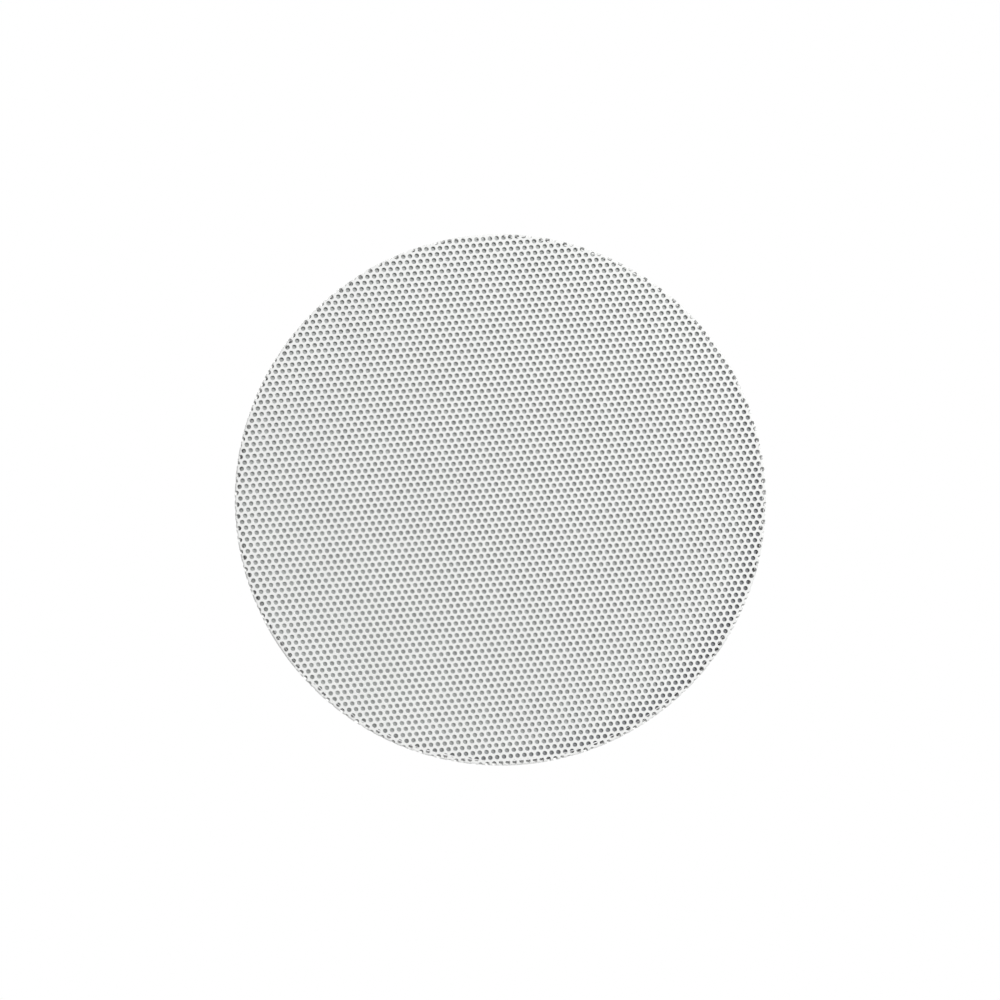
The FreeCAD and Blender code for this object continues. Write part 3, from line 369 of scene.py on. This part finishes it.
def foam(name, colour):
    """Open foam: dark pores and a slow blotch in the roughness."""
    look = Look(name, Specular_IOR_Level=0.2)
    pores = look.cells(0.9 * MM)
    blotch = look.noise(8 * MM, 3.0)
    tone = look.mix(pores, shade(colour, 0.5), shade(colour, 1.5))
    rough = look.between(blotch, 0.85, 1.0, 0.3, 0.7)
    return look.finish(tone, rough, pores, 0.25)


def mica_cone(name, colour):
    """Satin polypropylene with mica flakes that catch the light."""
    look = Look(name, Coat_Weight=0.15, Coat_Roughness=0.3)
    flakes = look.cells(0.35 * MM, output="Color")
    flow = look.noise(14 * MM, 3.0)
    sparkle = look.between(flakes, 0, 1, 0.7, 1.0)
    tone = look.mix(sparkle, shade(colour, 0.8), shade(colour, 2.0))
    rough = look.between(look.maths("SUBTRACT", flow, sparkle), 0.3, 0.5, -0.4, 0.7)
    return look.finish(tone, rough, flow, 0.02)


def circuit_board(name):
    """Green solder mask over copper tracks."""
    look = Look(name, Coat_Weight=0.6, Coat_Roughness=0.12)
    maze = look.cells(9 * MM, feature="DISTANCE_TO_EDGE")
    track = look.between(maze, 1, 0, 0.05, 0.075)
    weave = look.noise(0.6 * MM, 2.0)
    tone = look.mix(track, (0.012, 0.085, 0.035), (0.03, 0.17, 0.07))
    rough = look.between(weave, 0.22, 0.36, 0.3, 0.7)
    return look.finish(tone, rough, track, 0.05)


def ferrite(name, colour):
    """Sintered ferrite: fine grit with a slow swirl."""
    look = Look(name, Specular_IOR_Level=0.6)
    grit = look.noise(0.35 * MM, 4.0)
    swirl = look.noise(10 * MM, 4.0, distortion=1.2)
    tone = look.mix(look.between(swirl, 0, 1, 0.3, 0.7), shade(colour, 0.7), shade(colour, 1.35))
    rough = look.between(grit, 0.45, 0.7, 0.3, 0.7)
    return look.finish(tone, rough, grit, 0.03)


LOOKS = {
    "painted_steel": powder_coat("painted_steel", (0.90, 0.905, 0.895)),
    "fleece": fleece("fleece", (0.275, 0.285, 0.282), (0.515, 0.531, 0.523)),
    "nickel": plated("nickel", (0.72, 0.70, 0.66), 0.22),
    "black_abs": moulded("black_abs", (0.030, 0.030, 0.032), 0.52, grain=0.45, depth=0.02),
    "black_foam": foam("black_foam", (0.03, 0.03, 0.03)),
    "zinc_steel": plated("zinc_steel", (0.66, 0.67, 0.66), 0.32),
    "brass": plated("brass", (0.72, 0.52, 0.24), 0.3, along=(1, 6, 1)),
    "glass_nylon": moulded("glass_nylon", (0.075, 0.075, 0.08), 0.45, grain=0.9, depth=0.03, spread=0.3),
    "black_steel": powder_coat("black_steel", (0.028, 0.028, 0.031), 0.38, 0.012),
    "butyl": moulded("butyl", (0.022, 0.022, 0.023), 0.6, grain=0.3, depth=0.006, Sheen_Weight=0.15),
    "cone_poly": mica_cone("cone_poly", (0.05, 0.05, 0.054)),
    "cap_poly": moulded("cap_poly", (0.03, 0.03, 0.034), 0.22, grain=3.0, depth=0.004, Coat_Weight=0.3),
    "former_film": moulded("former_film", (0.36, 0.16, 0.03), 0.25, grain=1.0, depth=0.004),
    "copper": wound("copper", (0.76, 0.34, 0.16)),
    "spider_cloth": woven("spider_cloth", (0.28, 0.17, 0.06), (0.60, 0.42, 0.18)),
    "ferrite": ferrite("ferrite", (0.085, 0.085, 0.09)),
    "boot_rubber": moulded("boot_rubber", (0.028, 0.028, 0.03), 0.62, grain=0.35, depth=0.015,
                           Sheen_Weight=0.1),
    "phenolic": moulded("phenolic", (0.24, 0.11, 0.04), 0.4, grain=0.5, depth=0.01, spread=0.3),
    "anodised": plated("anodised", (0.10, 0.10, 0.105), 0.35),
    "silk": woven("silk", (0.02, 0.02, 0.024), (0.07, 0.07, 0.078), 0.3, 0.45, 0.03, Coat_Weight=0.2),
    "circuit_board": circuit_board("circuit_board"),
    "film_box": moulded("film_box", (0.42, 0.05, 0.035), 0.28, grain=1.5, depth=0.006, Coat_Weight=0.3),
    "sleeve": moulded("sleeve", (0.018, 0.026, 0.075), 0.25, grain=4.0, depth=0.01, Coat_Weight=0.4),
    "cement": moulded("cement", (0.74, 0.72, 0.65), 0.8, grain=0.5, depth=0.05, spread=0.08),
    "red_plastic": moulded("red_plastic", (0.50, 0.025, 0.02), 0.3, grain=0.6, depth=0.008, Coat_Weight=0.2),
    "black_plastic": moulded("black_plastic", (0.022, 0.022, 0.023), 0.35, grain=0.6, depth=0.01),
    "spring_steel": plated("spring_steel", (0.56, 0.56, 0.56), 0.25),
    "wire_jacket": moulded("wire_jacket", (0.03, 0.03, 0.03), 0.42, grain=2.5, depth=0.01),
    "magnet_coat": moulded("magnet_coat", (0.025, 0.025, 0.028), 0.28, grain=0.5, depth=0.006,
                           Coat_Weight=0.3),
}


def dress_nodes():
    """Every CAD node takes the look of its own material slot."""
    slots = {part["node"]: part["material_slot"] for part in frame["record"]["subparts"]}
    for name, node in frame["nodes"].items():
        node.data.materials.clear()
        node.data.materials.append(LOOKS[slots[name]])


# ---------------------------------------------------------------- grille

def lattice(limit):
    """Centres of the staggered holes, out to a radius on the flat blank."""
    along = np.array((math.cos(ROW_TILT), math.sin(ROW_TILT))) * PITCH
    across = np.array((math.cos(ROW_TILT + math.pi / 3), math.sin(ROW_TILT + math.pi / 3))) * PITCH
    reach = range(-60, 61)
    centres = np.array([np.array(ROW_OFFSET) + i * along + j * across for i in reach for j in reach])
    return centres[np.hypot(centres[:, 0], centres[:, 1]) < limit]


def formed(flat, depth):
    """The flat blank's points on the formed cap, at a depth below its face, and their outward normals."""
    radius = np.maximum(np.hypot(flat[:, 0], flat[:, 1]), 1e-9)
    bend_start = RIM_RADIUS - BEND
    neutral = BEND - SHEET / 2
    angle = np.clip((radius - bend_start) / neutral, 0, math.pi / 2)
    run = np.maximum(radius - bend_start - neutral * math.pi / 2, 0)
    reach = np.minimum(radius, bend_start) + (BEND - depth) * np.sin(angle) * (radius > bend_start)
    way = flat / radius[:, None]
    y = GRILLE_FRONT + BEND - (BEND - depth) * np.cos(angle) + run
    points = np.column_stack((way[:, 0] * reach, y, way[:, 1] * reach))
    out = np.column_stack((way[:, 0] * np.sin(angle), -np.cos(angle), way[:, 1] * np.sin(angle)))
    return points, out


def bend_points(centres, edge):
    """Extra points over the bend, clear of the holes, so that the sheet is smooth where it turns."""
    spacing, width, count = 0.2, 1.8, 1100
    hole_margin, edge_margin, reach = 0.16, 0.3, 4
    start = RIM_RADIUS - BEND - spacing
    points = []
    for row, radius in enumerate(np.arange(start, start + width, spacing)):
        angle = (np.arange(count) + 0.5 * (row % 2)) * 2 * math.pi / count
        points.append(np.column_stack((radius * np.cos(angle), radius * np.sin(angle))))
    points = np.vstack(points)
    near = centres[np.hypot(centres[:, 0], centres[:, 1]) > start - reach]
    apart = points[:, None, :] - near[None, :, :]
    gap = np.min(np.hypot(apart[:, :, 0], apart[:, :, 1]), axis=1)
    clear = gap > HOLE + PAINT_ROUND + hole_margin
    return points[clear & (np.hypot(points[:, 0], points[:, 1]) < edge - edge_margin)]


def make_grille():
    """The perforated cap: a blank with every hole cut, formed over its rim, its paint rounded off."""
    edge = RIM_RADIUS - BEND + (BEND - SHEET / 2) * math.pi / 2 + (GRILLE_EDGE - GRILLE_FRONT - BEND)
    plain_strip = 0.45
    centres = lattice(edge - HOLE - plain_strip)
    angle = ROW_TILT + np.arange(HOLE_SIDES) * 2 * math.pi / HOLE_SIDES
    circle = np.column_stack((np.cos(angle), np.sin(angle)))
    wide = (centres[:, None, :] + circle * (HOLE + PAINT_ROUND)).reshape(-1, 2)
    narrow = (centres[:, None, :] + circle * HOLE).reshape(-1, 2)
    border_count = 720
    turn = np.arange(border_count) * 2 * math.pi / border_count
    border = np.column_stack((np.cos(turn), np.sin(turn))) * edge
    extra = bend_points(centres, edge)

    ringed = len(wide)
    first = np.arange(ringed)
    following = first - first % HOLE_SIDES + (first + 1) % HOLE_SIDES
    border_first = np.arange(border_count) + ringed
    border_next = (np.arange(border_count) + 1) % border_count + ringed
    plane = np.vstack((wide, border, extra))
    lines = np.vstack((np.column_stack((first, following)), np.column_stack((border_first, border_next))))
    made = delaunay_2d_cdt([Vector(p) for p in plane], lines.tolist(), [], 1, 1e-6, False)
    if len(made[0]) != len(plane):
        raise RuntimeError("the blank's triangulation added or merged points")
    land = np.array(made[2])
    hole_of = np.where(np.arange(len(plane)) < ringed, np.arange(len(plane)) // HOLE_SIDES, -1)
    owners = hole_of[land]
    inside = (owners[:, 0] >= 0) & (owners[:, 0] == owners[:, 1]) & (owners[:, 0] == owners[:, 2])
    land = land[~inside]

    count = len(plane)
    back_plane = np.vstack((narrow, border, extra))
    front, front_out = formed(plane, 0.0)
    neck = formed(narrow, PAINT_ROUND)[0]
    back, back_out = formed(back_plane, SHEET)
    points = np.vstack((front, back, neck))
    neck_first, neck_next = first + 2 * count, following + 2 * count
    to_axis = formed(np.repeat(centres, HOLE_SIDES, axis=0), PAINT_ROUND)[0] - neck
    to_axis /= np.linalg.norm(to_axis, axis=1)[:, None]
    rim_out = np.tile((0.0, 1.0, 0.0), (border_count, 1))

    shapes = [
        (land, front_out[land]),
        (land[:, ::-1] + count, -back_out[land[:, ::-1]]),
        (np.column_stack((first, following, neck_next, neck_first)),
         np.stack((front_out[first], front_out[following], to_axis[following], to_axis[first]), axis=1)),
        (np.column_stack((neck_first, neck_next, following + count, first + count)),
         np.stack((to_axis[first], to_axis[following], to_axis[following], to_axis[first]), axis=1)),
        (np.column_stack((border_next, border_first, border_first + count, border_next + count)),
         np.stack((rim_out,) * 4, axis=1)),
    ]
    faces = [face for shape, _ in shapes for face in shape.tolist()]
    normals = np.vstack([normal.reshape(-1, 3) for _, normal in shapes])
    grille = mesh_object("perforated_grille_sheet", points, faces, LOOKS["painted_steel"])
    grille.data.normals_split_custom_set(normals)
    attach(grille, "grille")
    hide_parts("perforated_grille")


def curl(x, z, turn, sweep, reach):
    """A fibre that has worked its way out through the hole nearest to (x, z), low on the left in it."""
    centres = lattice(RIM_RADIUS)
    nearest = np.argmin(np.hypot(centres[:, 0] - x, centres[:, 1] - z))
    low_left, rise, root = (0.2, 0.22), 0.85, 0.05
    hole = centres[nearest] - low_left
    steps = np.linspace(0, 1, 24)
    angle = turn + sweep * steps
    y = GRILLE_FRONT + SHEET - rise * np.sin(math.pi * steps) + root
    return np.column_stack((hole[0] + reach * np.cos(angle), y, hole[1] + reach * np.sin(angle)))


def make_scrim():
    """The fleece disc behind the sheet, a little wavy, with two fibres that have worked their way out."""
    low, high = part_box("grille_scrim")
    middle = (low + high) / 2 / MM
    radius = (high.x - low.x) / 2 / MM
    rings, steps, puff = 44, 160, 0.06
    longer_at_top, frayed, jagged = 0.3, 0.25, 12.9898
    rng = random.Random(4)
    waves = [(rng.uniform(0.02, 0.09), rng.uniform(0, math.tau), rng.uniform(0, math.tau)) for _ in range(6)]

    def swell(x, z):
        """Height of the cloth's slow waves, from -1 to 1."""
        return sum(math.sin(x * size + a) * math.cos(z * size + b) for size, a, b in waves) / len(waves)

    def layer(y):
        """The middle and the rings of one side of the disc."""
        points = [(middle.x, y, middle.z)]
        for ring in range(1, rings + 1):
            for step in range(steps):
                angle = math.tau * step / steps
                reach = radius * ring / rings
                if ring == rings:
                    reach += longer_at_top * math.sin(angle) - frayed * abs(math.sin(step * jagged))
                x, z = middle.x + reach * math.cos(angle), middle.z + reach * math.sin(angle)
                points.append((x, y + puff * (0.5 + 0.5 * swell(x, z)), z))
        return points

    front = layer(low.y / MM + 0.03)
    back = layer(high.y / MM - 0.07)
    faces, count = [], len(front)
    for face in disc_faces(rings, steps):
        faces.append(face)
        faces.append(tuple(v + count for v in reversed(face)))
    edge = 1 + (rings - 1) * steps
    for step in range(steps):
        here, there = edge + step, edge + (step + 1) % steps
        faces.append((there, here, here + count, there + count))
    thick = 0.2
    hairs = [tube(curl(*fibre), thick, 6) for fibre in LOOSE_FIBRES]
    points, faces = joined([(front + back, faces), *hairs])
    scrim = add_piece("scrim_fleece", points, faces, "fleece", sharp=180)
    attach(scrim, "grille")
    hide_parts("grille_scrim")


# ---------------------------------------------------------------- woofer

def arc(centre, radius, start, end, steps):
    """Points of an arc in the (radius, y) plane, in degrees from the outward direction towards +y."""
    angles = np.radians(np.linspace(start, end, steps))
    return [(centre[0] + radius * math.cos(a), centre[1] + radius * math.sin(a)) for a in angles]


def make_surround():
    """The rubber half roll, split at its apex into an outer and an inner half."""
    low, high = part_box("surround")
    lip_edge, apex, rear = high.x / MM, low.y / MM, high.y / MM
    rubber, radius, steps = 0.6, 5.0, 14
    outer_lip, inner_lip = 3.7, 3.3
    centre = (lip_edge - outer_lip - radius, apex + radius)
    outside = centre[0] + radius
    inside = centre[0] - radius
    outer = arc(centre, radius, -90, 0, steps)
    outer += [(lip_edge, centre[1]), (lip_edge, rear), (outside - rubber, rear)]
    outer += arc(centre, radius - rubber, 0, -90, steps)
    inner = [(inside - inner_lip, centre[1])] + arc(centre, radius, -180, -90, steps)
    inner += arc(centre, radius - rubber, -90, -180, steps)
    inner += [(inside + rubber, rear), (inside - inner_lip, rear)]
    lip, past = Vector((0, centre[1] * MM, 0)), Vector((0, (apex * 2 - centre[1]) * MM, 0))
    for name, profile, start, end in (("outer", outer, lip, past), ("inner", inner, past, lip)):
        half = add_piece("surround_roll_" + name, *lathed(profile, 144), "butyl")
        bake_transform(half)
        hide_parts("surround")


def make_spider():
    """The corrugated cloth disc, made in sectors."""
    low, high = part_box("spider")
    edge, front, rear = high.x / MM, low.y / MM, high.y / MM
    neck, first, last, sheet, rolls = 12.8, 15.0, 38.0, 0.6, 8
    flat, wave = rear - sheet, rear - front - sheet
    side = [(neck, flat)]
    for radius in np.linspace(first, last, 8 * rolls + 1):
        phase = math.pi * rolls * (radius - first) / (last - first)
        side.append((radius, flat - wave * (0.5 - 0.5 * math.cos(phase))))
    side.append((edge, flat))
    profile = side + [(radius, y + sheet) for radius, y in reversed(side)]
    sectors = 12
    sweep = 360 / sectors
    for number in range(sectors):
        start = number * sweep
        points, faces = lathed(profile, 6, start, sweep)
        piece = add_piece(f"spider_sector_{number + 1}", points, faces, "spider_cloth", sharp=60)
        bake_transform(piece)
        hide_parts("spider")


def ridges(low, high, wire):
    """Places and depths along one side of a winding: four for each turn of the wire."""
    turns = max(1, round((high - low) / wire))
    wire = (high - low) / turns
    return [(low + wire * (n + t), wire * d) for n in range(turns)
            for t, d in ((0, 0.42), (0.2, 0.08), (0.5, 0), (0.8, 0.08))]


def make_winding(node, inner, wire):
    """A coil of round wire about the Y axis: every turn shows on its three open sides."""
    low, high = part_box(node)
    x, z = (low.x + high.x) / 2 / MM, (low.z + high.z) / 2 / MM
    outer, front, rear = (high.x - low.x) / 2 / MM, low.y / MM, high.y / MM
    profile = [(r, front + d) for r, d in ridges(inner, outer, wire)]
    profile += [(outer - d, y) for y, d in ridges(front, rear, wire)]
    profile += [(r, rear - d) for r, d in reversed(ridges(inner, outer, wire))]
    profile.append((inner, rear))
    points, faces = lathed(profile, 64)
    return add_piece(node + "_turns", np.array(points) + (x, 0, z), faces, "copper", sharp=180)


def make_windings():
    """The voice coil and the two coils on the board."""
    for node, inner, wire, body in (
        ("voice_coil", 12.8, 0.28, "cone"),
        ("woofer_inductor_winding", 4.0, 0.7, "frame"),
        ("tweeter_inductor", 3.5, 0.55, "frame"),
    ):
        winding = make_winding(node, inner, wire)
        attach(winding, body)
        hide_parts(node)


# ---------------------------------------------------------------- clamps and terminals

def screw_shape(front, tip, head):
    """A pan-head screw along Y: a domed head with a cross recess, then a right-hand thread."""
    columns = 48
    recess, arm = 1.9, 0.28     # reach of the cross, and half an arm's width as a share of it
    deep, taper = 1.5, 0.4      # the cross's depth at the middle, and its loss per millimetre outwards
    dome, chamfer, point = 1.3, 0.15, 0.6
    crest, flank, rise = 0.125, 0.5, 0.25
    angle = np.arange(columns) * math.tau / columns
    rings = []
    for r in np.arange(0.15, head + 0.01, 0.175):
        u, v = np.abs(r * np.cos(angle)), np.abs(r * np.sin(angle))
        cross = np.minimum(np.maximum(u, v / arm), np.maximum(u / arm, v)) < recess
        y = front + dome * max(0.0, (r - 0.5 * head) / (0.5 * head)) ** 3
        rings.append((np.full(columns, r), y + np.where(cross, deep - taper * r, 0.0)))
    rings.append((np.full(columns, head), np.full(columns, -chamfer)))
    rings.append((np.full(columns, head - chamfer), np.zeros(columns)))
    rings.append((np.full(columns, THREAD_ROOT), np.zeros(columns)))
    for y in np.arange(rise, tip - 1.0, rise):
        phase = (y / THREAD_PITCH + angle / math.tau) % 1.0
        height = np.clip((crest + flank - np.abs(phase - 0.5) * THREAD_PITCH) / flank, 0, 1)
        rings.append((THREAD_ROOT + (THREAD_MAJOR - THREAD_ROOT) * height, np.full(columns, y)))
    rings.append((np.full(columns, THREAD_ROOT), np.full(columns, tip - point)))
    rings.append((np.full(columns, THREAD_ROOT - point), np.full(columns, tip)))
    points = [(r * math.cos(a), y, r * math.sin(a)) for radius, depth in rings
              for r, y, a in zip(radius, depth, angle)]
    faces = [tuple(range(columns)), tuple(range(len(points) - columns, len(points)))]
    for i in range(len(rings) - 1):
        for k in range(columns):
            a, b = i * columns + k, i * columns + (k + 1) % columns
            faces.append((a, b, b + columns, a + columns))
    return points, faces


def make_clamp_screws():
    """The three clamps' screws, each turned into its place."""
    low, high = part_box("clamp_screw_top")
    points, faces = screw_shape(low.y / MM, high.y / MM, (high.x - low.x) / 2 / MM)
    points = np.array(points) + (SCREW_X, 0, SCREW_Z)
    for side, degrees in CLAMPS:
        screw = add_piece(f"threaded_screw_{side}", turned(points, degrees), faces, "zinc_steel", sharp=50)
        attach(screw, "clamp_screw_" + side)
        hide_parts("clamp_screw_" + side)


def make_lever_springs():
    """A steel coil spring under each push lever, squeezed between the block and the lever."""
    floor, top, y, wire, radius, turns = 90.0, 93.3, 30.0, 0.2, 1.28, 4.5
    for colour, x in (("red", -7.5), ("black", 7.5)):
        steps = np.linspace(0, 1, 110)
        angle = math.tau * turns * steps
        rise = floor + wire + (top - floor - 2 * wire) * steps
        path = np.column_stack((x + radius * np.cos(angle), y + radius * np.sin(angle), rise))
        points, faces = tube(path, wire, 8)
        spring = add_piece(colour + "_spring", turned(points, TERMINAL_TURN), faces, "spring_steel")
        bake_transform(spring)
        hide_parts("lever_springs")


def soften_edges():
    """Small radii on the edges of the moulded and punched parts."""
    for name in MOULDED:
        node = frame["nodes"][name]
        weld = node.modifiers.new("weld", "WELD")
        weld.merge_threshold = 1e-6
        bevel = node.modifiers.new("edges", "BEVEL")
        bevel.width = 0.35 * MM
        bevel.segments = 2
        bevel.limit_method = "ANGLE"
        bevel.angle_limit = math.radians(40)
        bevel.harden_normals = True


# ---------------------------------------------------------------- camera, light and floor

def make_floor():
    """A small pale floor well below the loudspeaker, fading out at its edge."""
    rings, steps, size, level = 12, 96, 320.0, -370.0
    points = [(0, 0, level)]
    for ring in range(1, rings + 1):
        radius = size * ring / rings
        for step in range(steps):
            angle = math.tau * step / steps
            points.append((radius * math.cos(angle), radius * math.sin(angle), level))
    look = Look("floor", Specular_IOR_Level=0.1)
    grain = look.noise(12 * MM, 4.0)
    tone = look.mix(grain, (0.93, 0.93, 0.925), (0.96, 0.96, 0.955))
    away = look.node("ShaderNodeVectorMath", {0: look.place}, operation="LENGTH").outputs["Value"]
    look.tree.links.new(look.between(away, 1, 0, 0.38, 0.485), look.shader.inputs["Alpha"])
    material = look.finish(tone, look.between(grain, 0.6, 0.75), grain, 0.02)
    floor = mesh_object("floor", points, disc_faces(rings, steps), material)


def make_camera():
    """Square to the disc but a little to its lower left, with the rim filling its share of the picture."""
    scene = bpy.context.scene
    scene.view_settings.view_transform = "Standard"
    scene.view_settings.look = "None"
    camera = bpy.data.objects.new("camera", bpy.data.cameras.new("camera"))
    scene.collection.objects.link(camera)
    distance, left, below = 0.5, 0.0227, 0.0297
    aim = Vector((-0.67, 0, -0.66)) * MM
    rim = Vector((RIM_RADIUS, GRILLE_FRONT + BEND)) * MM
    camera.data.lens = camera.data.sensor_width * DISC_SHARE * (distance + rim.y) / rim.x
    camera.location = (-left * distance, -distance, -below * distance)
    camera.rotation_euler = (camera.location - aim).to_track_quat("Z", "Y").to_euler()
    scene.camera = camera


def make_world():
    """A white background to the camera, and a dimmer one that lights the object."""
    world = bpy.data.worlds.new("studio")
    bpy.context.scene.world = world
    world.use_nodes = True
    tree = world.node_tree
    tree.nodes.clear()
    output = tree.nodes.new("ShaderNodeOutputWorld")
    seen = tree.nodes.new("ShaderNodeBackground")
    seen.inputs["Color"].default_value = (1, 1, 1, 1)
    lit = tree.nodes.new("ShaderNodeBackground")
    lit.inputs["Color"].default_value = (1, 1, 1, 1)
    lit.inputs["Strength"].default_value = 0.27
    mixer = tree.nodes.new("ShaderNodeMixShader")
    path = tree.nodes.new("ShaderNodeLightPath")
    tree.links.new(path.outputs["Is Camera Ray"], mixer.inputs[0])
    tree.links.new(lit.outputs[0], mixer.inputs[1])
    tree.links.new(seen.outputs[0], mixer.inputs[2])
    tree.links.new(mixer.outputs[0], output.inputs["Surface"])


def make_lamps():
    """A soft key lamp in front at the upper right, and two weaker ones behind."""
    for name, place, size, power in (
        ("key", (1.29, -2.61, 1.58), 0.8, 97.0),
        ("back_fill", (-0.7, 1.0, 0.6), 0.7, 16.0),
        ("back_rim", (0.9, 0.9, 0.1), 0.4, 6.0),
    ):
        lamp = bpy.data.lights.new(name, "AREA")
        lamp.size = size
        lamp.energy = power
        light = bpy.data.objects.new(name, lamp)
        light.location = place
        light.rotation_euler = Vector(place).to_track_quat("Z", "Y").to_euler()
        bpy.context.scene.collection.objects.link(light)


dress_nodes()
make_grille()
make_scrim()
make_surround()
make_spider()
make_windings()
make_clamp_screws()
make_lever_springs()
soften_edges()
make_floor()
make_camera()
make_world()
make_lamps()
